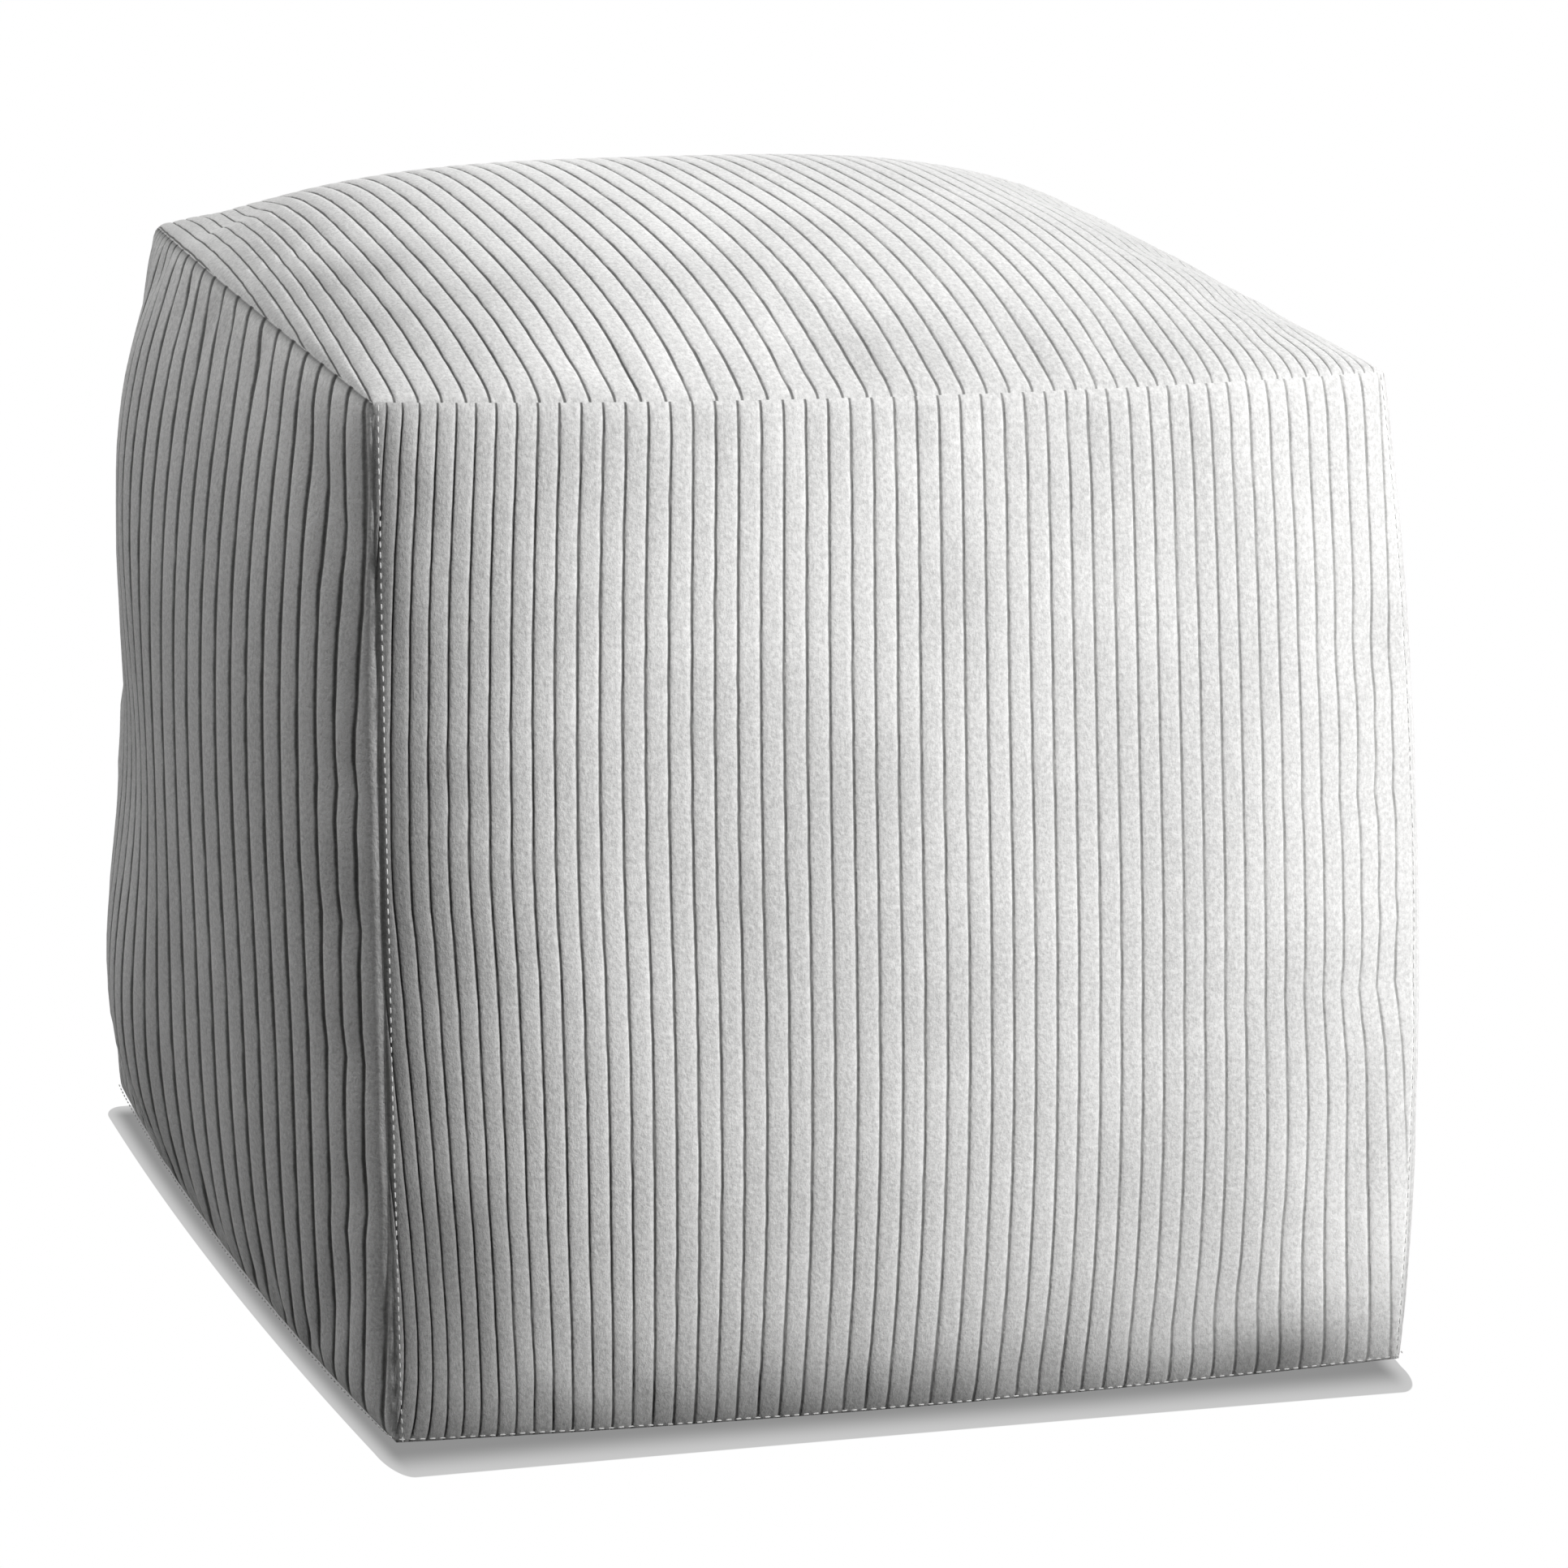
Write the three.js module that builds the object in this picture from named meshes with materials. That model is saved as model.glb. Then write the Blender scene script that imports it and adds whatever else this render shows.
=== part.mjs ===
// Cube bean bag: a soft cube of jumbo corduroy, filled slack, as one closed solid.
// Millimetres, +Z up. The front panel faces -Y and the left panel -X. The base rests on z = 0,
// and the origin is under the middle of the outline.
import * as THREE from 'three';
import { mergeVertices } from 'three/addons/utils/BufferGeometryUtils.js';

// Cube between its seam corners, and how the slack bag stands
const TOP_WIDTH = 430;
const BASE_WIDTH = 448;
const CORNER_HEIGHT = 441;
const BASE_CORNER_LIFT = 4;
const BASE_SHIFT_X = 22;

// How far the filling pushes each panel out past its seams
const TOP_CROWN = 40;
const LEFT_BULGE = 23.5;
const RIGHT_BULGE = 16.5;
const FRONT_BULGE = 15;

// Powers of the bulge's curve across and up each panel: 2 is a round arc, and more is flatter with
// steeper edges
const CROWN_POWERS = [3.4, 2.8];
const FRONT_POWERS = [2.9, 2.4];
const SIDE_POWERS = [3.9, 3.3];

// Corduroy wales: how many, their height, and the share of a panel over which they sink into its
// seams. On the front, back and top they crowd to the left, and on the sides to both seams.
const FRONT_WALES = 50;
const SIDE_WALES = 24;
const WALE_HEIGHT = 1.6;
const WALE_FADE = 0.06;
const LEFT_CROWDING = 0.38;
const LEFT_CROWDING_REACH = 0.32;
const SIDE_CROWDING = 0.33;

// Mesh steps: two columns a wale, and rows from the base seam to the top seam
const COLUMNS_PER_WALE = 2;
const PANEL_ROWS = 8;

// Seams bow in round arcs
const SEAM_BOW_POWER = 2;

// The base is flat inside a rim that rises to the base seams
const BASE_RIM = 18;

const COLOUR = 0xdcdad6;
const ROUGHNESS = 0.95;

// A corner's side in x and y, its level (0 base, 1 top), and its move off the even cube
function corner(sideX, sideY, level, move) {
  const half = (level === 1 ? TOP_WIDTH : BASE_WIDTH) / 2;
  const shift = level === 1 ? 0 : BASE_SHIFT_X;
  const height = level === 1 ? CORNER_HEIGHT : BASE_CORNER_LIFT;
  return new THREE.Vector3(sideX * half + shift, sideY * half, height).add(new THREE.Vector3(...move));
}

const CORNERS = {
  topLeftFront: corner(-1, -1, 1, [0, 0, 0]),
  topRightFront: corner(1, -1, 1, [0, 0, 0]),
  topRightBack: corner(1, 1, 1, [-8, 4.5, 6]),
  topLeftBack: corner(-1, 1, 1, [-3, 3.5, -5]),
  baseLeftFront: corner(-1, -1, 0, [0, 0, 0]),
  baseRightFront: corner(1, -1, 0, [0, 0, 0]),
  baseRightBack: corner(1, 1, 0, [0, 0, 0]),
  baseLeftBack: corner(-1, 1, 0, [-30, 12.5, 6]),
};

// A seam's two corners, and how far its middle bows off the straight line in x, y and z
const SEAMS = {
  topFront: { from: 'topLeftFront', to: 'topRightFront', bow: [0, -19.5, 0] },
  topBack: { from: 'topLeftBack', to: 'topRightBack', bow: [0, 10, 0] },
  topLeft: { from: 'topLeftFront', to: 'topLeftBack', bow: [-12.5, 0, 9.5] },
  topRight: { from: 'topRightFront', to: 'topRightBack', bow: [-6.5, 0, 3] },
  baseFront: { from: 'baseLeftFront', to: 'baseRightFront', bow: [0, 1, -4] },
  baseBack: { from: 'baseLeftBack', to: 'baseRightBack', bow: [0, 12, -4] },
  baseLeft: { from: 'baseLeftFront', to: 'baseLeftBack', bow: [-2, 0, -4] },
  baseRight: { from: 'baseRightFront', to: 'baseRightBack', bow: [10.5, 0, -4] },
  leftFront: { from: 'baseLeftFront', to: 'topLeftFront', bow: [-2, -6, 0] },
  rightFront: { from: 'baseRightFront', to: 'topRightFront', bow: [8.5, -6, 0] },
  rightBack: { from: 'baseRightBack', to: 'topRightBack', bow: [3.5, 4, 0] },
  leftBack: { from: 'baseLeftBack', to: 'topLeftBack', bow: [-3.5, 4, 0] },
};

// A panel's four seams, the way it faces, its bulge and the bulge's powers
const PANELS = {
  front: {
    low: 'baseFront', high: 'topFront', left: 'leftFront', right: 'rightFront',
    out: [0, -1, 0], bulge: FRONT_BULGE, powers: FRONT_POWERS,
  },
  back: {
    low: 'baseBack', high: 'topBack', left: 'leftBack', right: 'rightBack',
    out: [0, 1, 0], bulge: FRONT_BULGE, powers: FRONT_POWERS,
  },
  left: {
    low: 'baseLeft', high: 'topLeft', left: 'leftFront', right: 'leftBack',
    out: [-1, 0, 0], bulge: LEFT_BULGE, powers: SIDE_POWERS,
  },
  right: {
    low: 'baseRight', high: 'topRight', left: 'rightFront', right: 'rightBack',
    out: [1, 0, 0], bulge: RIGHT_BULGE, powers: SIDE_POWERS,
  },
  top: {
    low: 'topFront', high: 'topBack', left: 'topLeft', right: 'topRight',
    out: [0, 0, 1], bulge: TOP_CROWN, powers: CROWN_POWERS,
  },
};

// Soft dents and swells in the filling: place across and up the panel, size, and depth inwards
const DENTS = [
  { panel: 'front', across: 0.09, up: 0.2, radius: 55, depth: 6 },
  { panel: 'front', across: 0.88, up: 0.1, radius: 50, depth: 4 },
  { panel: 'front', across: 0.55, up: 0.3, radius: 120, depth: -3 },
  { panel: 'left', across: 0.8, up: 0.82, radius: 75, depth: -5 },
  { panel: 'left', across: 0.8, up: 0.5, radius: 75, depth: 4 },
  { panel: 'left', across: 0.8, up: 0.16, radius: 75, depth: -6 },
  { panel: 'right', across: 0.6, up: 0.35, radius: 90, depth: 5 },
  { panel: 'back', across: 0.35, up: 0.3, radius: 110, depth: 6 },
  { panel: 'top', across: 0.2, up: 0.3, radius: 90, depth: 4 },
];

// Share of the way across the front, back or top panel after a share of its wales
function frontShare(wales) {
  return wales - LEFT_CROWDING * wales * (1 - wales) * Math.exp(-wales / LEFT_CROWDING_REACH);
}

// Share of the way across the left or right panel after a share of its wales
function sideShare(wales) {
  return wales - (SIDE_CROWDING / (2 * Math.PI)) * Math.sin(2 * Math.PI * wales);
}

// A dome of height 1 in the middle and 0 at both ends of 0 to 1
function arch(share, power) {
  return 1 - Math.abs(2 * share - 1) ** power;
}

function seamPoint(name, share) {
  const seam = SEAMS[name];
  const point = CORNERS[seam.from].clone().lerp(CORNERS[seam.to], share);
  return point.addScaledVector(new THREE.Vector3(...seam.bow), arch(share, SEAM_BOW_POWER));
}

// The flat patch between a panel's four seams, before the filling pushes it out
function patchPoint(panel, across, up) {
  const point = new THREE.Vector3();
  point.addScaledVector(seamPoint(panel.low, across), 1 - up);
  point.addScaledVector(seamPoint(panel.high, across), up);
  point.addScaledVector(seamPoint(panel.left, up), 1 - across);
  point.addScaledVector(seamPoint(panel.right, up), across);
  point.addScaledVector(seamPoint(panel.low, 0), -(1 - across) * (1 - up));
  point.addScaledVector(seamPoint(panel.low, 1), -across * (1 - up));
  point.addScaledVector(seamPoint(panel.high, 0), -(1 - across) * up);
  point.addScaledVector(seamPoint(panel.high, 1), -across * up);
  return point;
}

function dentDepth(panelName, across, up) {
  let depth = 0;
  for (const dent of DENTS.filter((each) => each.panel === panelName)) {
    const distance = Math.hypot(across - dent.across, up - dent.up) * TOP_WIDTH;
    depth += dent.depth * Math.exp(-((distance / dent.radius) ** 2));
  }
  return depth;
}

// A point of a panel: the patch, pushed out by the filling, with its ridge on a wale's middle
function panelPoint(panelName, across, up, ridge) {
  const panel = PANELS[panelName];
  const dome = arch(across, panel.powers[0]) * arch(up, panel.powers[1]);
  const fade = Math.min(1, Math.min(across, 1 - across, up, 1 - up) / WALE_FADE);
  const filling = panel.bulge * dome - dentDepth(panelName, across, up) * Math.min(1, dome * 2);
  const push = filling + WALE_HEIGHT * ridge * fade;
  return patchPoint(panel, across, up).addScaledVector(new THREE.Vector3(...panel.out), push);
}

// Share of the way up a panel after a share of its rows, which lie closer together at its seams
function rowShare(rows) {
  return (1 - Math.cos(Math.PI * rows)) / 2;
}

function evenSteps(count, share) {
  return Array.from({ length: count + 1 }, (_, k) => share(k / count));
}

const FRONT_SHARES = evenSteps(FRONT_WALES * COLUMNS_PER_WALE, frontShare);
const SIDE_SHARES = evenSteps(SIDE_WALES * COLUMNS_PER_WALE, sideShare);

const ROW_SHARES = evenSteps(PANEL_ROWS, rowShare);

// The same rows serve the top panel and the upper edge of the left and right panels
const DEPTH_SHARES = evenSteps(SIDE_WALES, sideShare);

const positions = [];

// Adds a triangle, turned so that it faces along the way out
function addTriangle(a, b, c, out) {
  const normal = new THREE.Vector3().subVectors(b, a).cross(new THREE.Vector3().subVectors(c, a));
  const [second, third] = normal.dot(out) > 0 ? [b, c] : [c, b];
  for (const point of [a, second, third]) {
    positions.push(point.x, point.y, point.z);
  }
}

function addQuad(a, b, c, d, out) {
  addTriangle(a, b, c, out);
  addTriangle(a, c, d, out);
}

function panelGrid(panelName, acrossShares, upShares) {
  return upShares.map((up) =>
    acrossShares.map((across, k) => panelPoint(panelName, across, up, k % COLUMNS_PER_WALE)));
}

// Front, back and top panels: every column runs from seam to seam
function addFullPanel(panelName, upShares) {
  const out = new THREE.Vector3(...PANELS[panelName].out);
  const grid = panelGrid(panelName, FRONT_SHARES, upShares);
  for (let row = 0; row + 1 < grid.length; row += 1) {
    for (let k = 0; k + 1 < FRONT_SHARES.length; k += 1) {
      addQuad(grid[row][k], grid[row][k + 1], grid[row + 1][k + 1], grid[row + 1][k], out);
    }
  }
}

// Left and right panels: their last row meets the top seam with one step a wale
function addSidePanel(panelName) {
  const out = new THREE.Vector3(...PANELS[panelName].out);
  const grid = panelGrid(panelName, SIDE_SHARES, ROW_SHARES.slice(0, -1));
  for (let row = 0; row + 1 < grid.length; row += 1) {
    for (let k = 0; k + 1 < SIDE_SHARES.length; k += 1) {
      addQuad(grid[row][k], grid[row][k + 1], grid[row + 1][k + 1], grid[row + 1][k], out);
    }
  }
  const last = grid[grid.length - 1];
  const seam = DEPTH_SHARES.map((across) => panelPoint(panelName, across, 1, 0));
  for (let wale = 0; wale < SIDE_WALES; wale += 1) {
    const first = wale * COLUMNS_PER_WALE;
    addTriangle(seam[wale], last[first], last[first + 1], out);
    addTriangle(seam[wale], last[first + 1], seam[wale + 1], out);
    addTriangle(seam[wale + 1], last[first + 1], last[first + 2], out);
  }
}

// The base seams as one loop, the flat rest inside it, and the rim between them
function addBase() {
  const out = new THREE.Vector3(0, 0, -1);
  const loop = [
    ...FRONT_SHARES.slice(0, -1).map((share) => seamPoint('baseFront', share)),
    ...SIDE_SHARES.slice(0, -1).map((share) => seamPoint('baseRight', share)),
    ...FRONT_SHARES.slice(1).reverse().map((share) => seamPoint('baseBack', share)),
    ...SIDE_SHARES.slice(1).reverse().map((share) => seamPoint('baseLeft', share)),
  ];
  const middle = new THREE.Vector3(BASE_SHIFT_X, 0, 0);
  const inset = 1 - BASE_RIM / (BASE_WIDTH / 2);
  const rest = loop.map((point) => point.clone().lerp(middle, 1 - inset).setZ(0));
  for (let k = 0; k < loop.length; k += 1) {
    const next = (k + 1) % loop.length;
    addQuad(loop[k], loop[next], rest[next], rest[k], out);
    addTriangle(rest[k], rest[next], middle, out);
  }
}

function makeCushion() {
  addFullPanel('front', ROW_SHARES);
  addFullPanel('back', ROW_SHARES);
  addFullPanel('top', DEPTH_SHARES);
  addSidePanel('left');
  addSidePanel('right');
  addBase();
  const soup = new THREE.BufferGeometry();
  soup.setAttribute('position', new THREE.Float32BufferAttribute(positions, 3));
  const geometry = mergeVertices(soup, 0.001);
  geometry.computeBoundingBox();
  const middle = geometry.boundingBox.getCenter(new THREE.Vector3());
  geometry.translate(-middle.x, -middle.y, 0);
  geometry.computeVertexNormals();
  return geometry;
}

const corduroy = new THREE.MeshStandardMaterial({ color: COLOUR, roughness: ROUGHNESS, metalness: 0 });

const cushion = new THREE.Mesh(makeCushion(), corduroy);
cushion.name = 'cushion';

const beanBag = new THREE.Group();
beanBag.add(cushion);

export default beanBag;
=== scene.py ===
# Cube bean bag in jumbo corduroy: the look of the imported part. Metres, +Z up, front panel facing -Y.
import math

import bmesh
import bpy
import numpy as np
from mathutils import Matrix


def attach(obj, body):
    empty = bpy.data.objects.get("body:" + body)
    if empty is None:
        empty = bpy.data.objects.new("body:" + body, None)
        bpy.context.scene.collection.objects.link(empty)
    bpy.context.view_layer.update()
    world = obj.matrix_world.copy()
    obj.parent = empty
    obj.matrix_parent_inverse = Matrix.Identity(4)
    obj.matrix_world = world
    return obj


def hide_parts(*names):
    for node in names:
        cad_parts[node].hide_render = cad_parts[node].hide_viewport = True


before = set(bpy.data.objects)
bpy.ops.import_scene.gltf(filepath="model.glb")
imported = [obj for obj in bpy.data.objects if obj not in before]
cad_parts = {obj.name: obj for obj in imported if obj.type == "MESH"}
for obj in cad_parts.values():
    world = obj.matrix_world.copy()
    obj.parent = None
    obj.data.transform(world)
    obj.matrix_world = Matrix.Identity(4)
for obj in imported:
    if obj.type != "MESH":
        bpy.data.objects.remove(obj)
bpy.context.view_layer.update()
MM = 0.001

# The cube between its seam corners, as in the part's source, in millimetres. The base corners lift
# off the floor and stand to the right of the top's, and the base comes down to the floor over its rim.
TOP_WIDTH = 430
BASE_WIDTH = 448
CORNER_HEIGHT = 441
BASE_CORNER_LIFT = 4
BASE_SHIFT_X = 22
BASE_RIM = 18

# How far the filling pushes each panel out, and the powers of its curve across and up the panel
BULGES = {
    "top": (38, 3.4, 2.8),
    "front": (9, 2.9, 2.4),
    "back": (9, 2.9, 2.4),
    "left": (20, 3.9, 3.3),
    "right": (13, 3.9, 3.3),
}
# The front and back also turn round their upright seams, on a steeper curve
EDGE_TURN = 5
EDGE_TURN_POWER = 9
OUTWARD = {
    "top": (0, 0, 1),
    "front": (0, -1, 0),
    "back": (0, 1, 0),
    "left": (-1, 0, 0),
    "right": (1, 0, 0),
    "base": (0, 0, -1),
}

# Dents have their full depth where the panel's dome is at least this high, as a share of it
DENT_FULL = 0.5

# Seam corners: side in x, side in y, level (0 base, 1 top), and the move off the even cube
CORNERS = {
    "top_left_front": (-1, -1, 1, (0, 0, 0)),
    "top_right_front": (1, -1, 1, (0, 0, 0)),
    "top_right_back": (1, 1, 1, (-8, 4.5, 6)),
    "top_left_back": (-1, 1, 1, (-3, 3.5, -5)),
    "base_left_front": (-1, -1, 0, (0, 0, 0)),
    "base_right_front": (1, -1, 0, (0, 0, 0)),
    "base_right_back": (1, 1, 0, (0, 0, 0)),
    "base_left_back": (-1, 1, 0, (-30, 12.5, 6)),
}

# Seams: two corners, and how far the middle bows off the straight line in x, y and z
SEAMS = {
    "top_front": ("top_left_front", "top_right_front", (0, -19.5, 0)),
    "top_back": ("top_left_back", "top_right_back", (0, 10, 0)),
    "top_left": ("top_left_front", "top_left_back", (-12.5, 0, 9.5)),
    "top_right": ("top_right_front", "top_right_back", (-6.5, 0, 3)),
    "base_front": ("base_left_front", "base_right_front", (0, 1, -4)),
    "base_back": ("base_left_back", "base_right_back", (0, 12, -4)),
    "base_left": ("base_left_front", "base_left_back", (-6, 0, -4)),
    "base_right": ("base_right_front", "base_right_back", (10.5, 0, -4)),
    "left_front": ("base_left_front", "top_left_front", (-2, -6, 0)),
    "right_front": ("base_right_front", "top_right_front", (8.5, -6, 0)),
    "right_back": ("base_right_back", "top_right_back", (3.5, 4, 0)),
    "left_back": ("base_left_back", "top_left_back", (-3.5, 4, 0)),
}

# Panels: their low, high, left and right seams
PANELS = {
    "top": ("top_front", "top_back", "top_left", "top_right"),
    "front": ("base_front", "top_front", "left_front", "right_front"),
    "back": ("base_back", "top_back", "left_back", "right_back"),
    "left": ("base_left", "top_left", "left_front", "left_back"),
    "right": ("base_right", "top_right", "right_front", "right_back"),
    "base": ("base_front", "base_back", "base_left", "base_right"),
}

# Dents in the filling: panel, place across and up it, radius, and depth inwards
DENTS = [
    ("front", 0.09, 0.2, 55, 6),
    ("front", 0.88, 0.1, 50, 4),
    ("front", 0.55, 0.3, 120, -3),
    ("left", 0.8, 0.82, 75, -5),
    ("left", 0.8, 0.44, 75, 7),
    ("left", 0.8, 0.16, 75, -6),
    ("right", 0.6, 0.35, 90, 5),
    ("back", 0.35, 0.3, 110, 6),
    ("top", 0.2, 0.3, 90, 4),
]

# Wales: how many cross a panel
WALES = {"front": 49.3, "back": 49.3, "base": 49.3, "top": 49, "left": 24, "right": 24}
# First and last wale in each panel's mesh, past its seams where wales run off sideways
WALE_ENDS = {
    "front": (-3, 51),
    "back": (-3, 51),
    "base": (-3, 51),
    "top": (-5, 49),
    "left": (-2, 24),
    "right": (-2, 24),
}
# How far the front's wales crowd to the left, and over what share of it
LEFT_CROWDING = 0.38
LEFT_CROWDING_REACH = 0.32
# How far the sides' wales crowd to both seams, and the top's to the right
SIDE_CROWDING = 0.33
TOP_CROWDING = 0.55

# How the front's wales stray, as shares of the panel: they lean left below the top, bow to the
# right low down beside both upright seams, and curl left at the base beside the left seam
FRONT_LEAN = 0.019
FRONT_LEAN_RUN = 0.42
FRONT_BOW = 0.04
FRONT_BOW_REACH = 0.2
LEFT_BOW_TOP = 0.55
RIGHT_BOW_TOP = 0.4
BASE_CURL = 0.025
BASE_CURL_REACH = 0.06

# How the sides' wales stray: they bend back below the top seam, lean forward beside the front seam
# near the top, sag forward in the slack of the lower half, and bend back at the base
TOP_BEND = 0.24
TOP_BEND_REACH = 0.05
CORNER_LEAN = 0.034
CORNER_LEAN_REACH = 0.07
CORNER_LEAN_START = 0.67
CORNER_LEAN_RUN = 0.25
SLACK_SAG = 0.09
SLACK_HEIGHT = 0.34
SLACK_REACH = 0.17
BASE_BEND = 0.1
BASE_BEND_REACH = 0.08
BASE_BEND_EASE = (0.02, 0.07)
# How much of all this each side has
SIDE_BENDS = {"left": 1.0, "right": 0.35}

# The top's wales lean right beside the left seam, and past that seam they are narrower
TOP_LEAN = 0.055
TOP_LEAN_RUN = 0.7
TOP_LEAN_REACH = 0.15
RUN_OFF_WIDTH = 0.66

# Height of a wale, the share of it over which it rises out of its groove, and how far it is crowned
WALE_SHAPES = {"front": (1.1, 0.13, 0.2), "side": (1.3, 0.2, 0.35)}
# Over what distance a wale sinks to its seam, and to the base seam of a side
WALE_END = 1.4
SIDE_WALE_END = 7.0
# Near the upright seams the groove's painted shade fades: how much, and over what distance
SEAM_FADE = 0.85
SEAM_FADE_REACH = 3.5
# Half the width of the painted shade in the groove, as a share of a wale
GROOVE_SHADE_WIDTHS = {"front": 0.085, "side": 0.15}
# Places of the mesh's columns across one wale, closer together at the groove
FRONT_COLUMNS = (0, 0.05, 0.12, 0.3, 0.5, 0.7, 0.88, 0.95)
SIDE_COLUMNS = (0, 0.05, 0.11, 0.2, 0.35, 0.5, 0.65, 0.8, 0.89, 0.95)

# Painted light and shade on the cloth, darker along the front's left seam and the base seams, lighter
# on the left panel by its front seam, with faint darker spots: panel, place across and up it, reach
# across and up, and the change in brightness there
PAINTED_LIGHT_PATCHES = [
    ("front", 0.0, 0.5, 0.1, 0.5, -0.42),
    ("front", 0.05, 0.14, 0.08, 0.12, -0.38),
    ("front", 0.06, 0.23, 0.05, 0.05, -0.2),
    ("front", 0.4, 0.0, 0.5, 0.055, -0.55),
    ("front", 0.87, 0.02, 0.07, 0.045, -0.5),
    ("front", 0.0, 0.45, 0.03, 0.5, -0.25),
    ("front", 0.0, 0.88, 0.02, 0.12, -0.35),
    ("front", 0.95, 0.12, 0.1, 0.12, 0.22),
    ("front", 0.54, 0.84, 0.05, 0.05, -0.08),
    ("front", 0.67, 0.74, 0.05, 0.05, -0.08),
    ("front", 0.31, 0.52, 0.06, 0.05, -0.08),
    ("front", 0.42, 0.63, 0.05, 0.05, -0.06),
    ("back", 0.5, 0.0, 0.5, 0.045, -0.3),
    ("right", 0.5, 0.0, 0.5, 0.045, -0.3),
    ("left", 0.04, 0.5, 0.12, 0.6, 0.2),
    ("left", 0.75, 0.35, 0.35, 0.4, -0.16),
    ("left", 0.17, 0.96, 0.3, 0.1, 0.18),
    ("top", 0.08, 0.2, 0.12, 0.22, -0.14),
    ("top", 0.5, 0.05, 0.08, 0.05, -0.08),
    ("top", 0.95, 0.4, 0.3, 0.5, -0.13),
    ("top", 0.06, 0.35, 0.045, 0.07, -0.2),
    ("top", 0.14, 0.36, 0.04, 0.06, -0.14),
]

# Painted shade in a dark line under the sides' top seams: how dark, and how far it reaches down
SEAM_SHADE_LINE = 0.8
SEAM_SHADE_LINE_REACH = 2.0

# Mesh rows between a panel's low and high seams
ROWS = {"front": 48, "back": 48, "base": 10, "top": 56, "left": 48, "right": 48}

# Each panel rolls out of its seam: how far, and over what distance
ROLL = 1.1
ROLL_REACH = 2.2


def unit_steps(count):
    """Shares from 0 to 1, closer together at both ends."""
    return (1 - np.cos(np.pi * np.linspace(0, 1, count + 1))) / 2


def corner(name):
    """Where a seam corner stands before the cube is centred."""
    side_x, side_y, level, move = CORNERS[name]
    half = (TOP_WIDTH if level else BASE_WIDTH) / 2
    shift = 0 if level else BASE_SHIFT_X
    height = CORNER_HEIGHT if level else BASE_CORNER_LIFT
    return np.array((side_x * half + shift, side_y * half, height)) + move


def arch(share, power):
    """A dome of height 1 in the middle and 0 at both ends of 0 to 1."""
    return 1 - np.abs(2 * share - 1) ** power


def seam_points(name, share):
    """Points along a bowed seam."""
    first, last, bow = SEAMS[name]
    share = np.asarray(share, float)[..., None]
    straight = corner(first) + (corner(last) - corner(first)) * share
    return straight + np.array(bow) * arch(share, 2)


def patch(panel, across, up):
    """The flat patch between a panel's four seams."""
    low, high, left, right = PANELS[panel]
    u = across[..., None]
    v = up[..., None]
    sides = (1 - v) * seam_points(low, across) + v * seam_points(high, across)
    sides += (1 - u) * seam_points(left, up) + u * seam_points(right, up)
    corners = (1 - u) * (1 - v) * seam_points(low, 0) + u * (1 - v) * seam_points(low, 1)
    corners += (1 - u) * v * seam_points(high, 0) + u * v * seam_points(high, 1)
    return sides - corners


def edge_distance(across, up):
    """Distance to the nearest seam, in millimetres."""
    return TOP_WIDTH * np.minimum(np.minimum(across, 1 - across), np.minimum(up, 1 - up))


def dent_depth(panel, across, up):
    """How far the panel's dents push it in."""
    depth = np.zeros_like(across)
    for name, place, height, radius, deep in DENTS:
        if name == panel:
            away = np.hypot(across - place, up - height) * TOP_WIDTH
            depth += deep * np.exp(-((away / radius) ** 2))
    return depth


def painted_light_brightness(panel, across, up):
    """How bright the cloth is with its patches of painted light and shade and the painted shade line
    under the top seam.
    """
    brightness = np.ones_like(across)
    for name, place, height, reach_across, reach_up, change in PAINTED_LIGHT_PATCHES:
        if name == panel:
            away = ((across - place) / reach_across) ** 2 + ((up - height) / reach_up) ** 2
            brightness *= 1 + change * np.exp(-away)
    # Painted shade in a dark line just under the top seam
    if panel in ("left", "right"):
        below = (1 - up) * TOP_WIDTH / SEAM_SHADE_LINE_REACH
        brightness *= 1 - SEAM_SHADE_LINE * np.exp(-(below**2))
    return brightness


def groove_shade_strength(panel, across):
    """How much of the painted shade in the groove shows, which fades at the upright seams."""
    if panel in ("top", "base"):
        return np.ones_like(across)
    away = TOP_WIDTH * np.minimum(across, 1 - across) / SEAM_FADE_REACH
    return 1 - SEAM_FADE * np.exp(-(away**2))


def filled(panel, across, up):
    """The panel's cloth as the filling shapes it, before the simulation and without wales."""
    across = np.clip(across, 0, 1)
    up = np.clip(up, 0, 1)
    points = patch(panel, across, up)
    distance = edge_distance(across, up)
    if panel == "base":
        points[..., 2] *= 1 - np.clip(distance / BASE_RIM, 0, 1)
        return points
    bulge, power_across, power_up = BULGES[panel]
    dome = arch(across, power_across) * arch(up, power_up)
    push = bulge * dome - dent_depth(panel, across, up) * np.minimum(1, dome / DENT_FULL)
    if panel in ("front", "back"):
        push += EDGE_TURN * arch(across, EDGE_TURN_POWER) * arch(up, power_up)
    push += ROLL * (1 - np.exp(-distance / ROLL_REACH))
    return points + np.array(OUTWARD[panel]) * push[..., None]


def front_share(wales):
    """Share of the way across the front after a share of its wales, which crowd to the left."""
    crowding = LEFT_CROWDING * np.exp(-np.clip(wales, 0, None) / LEFT_CROWDING_REACH)
    return wales - crowding * wales * (1 - wales)


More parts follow.
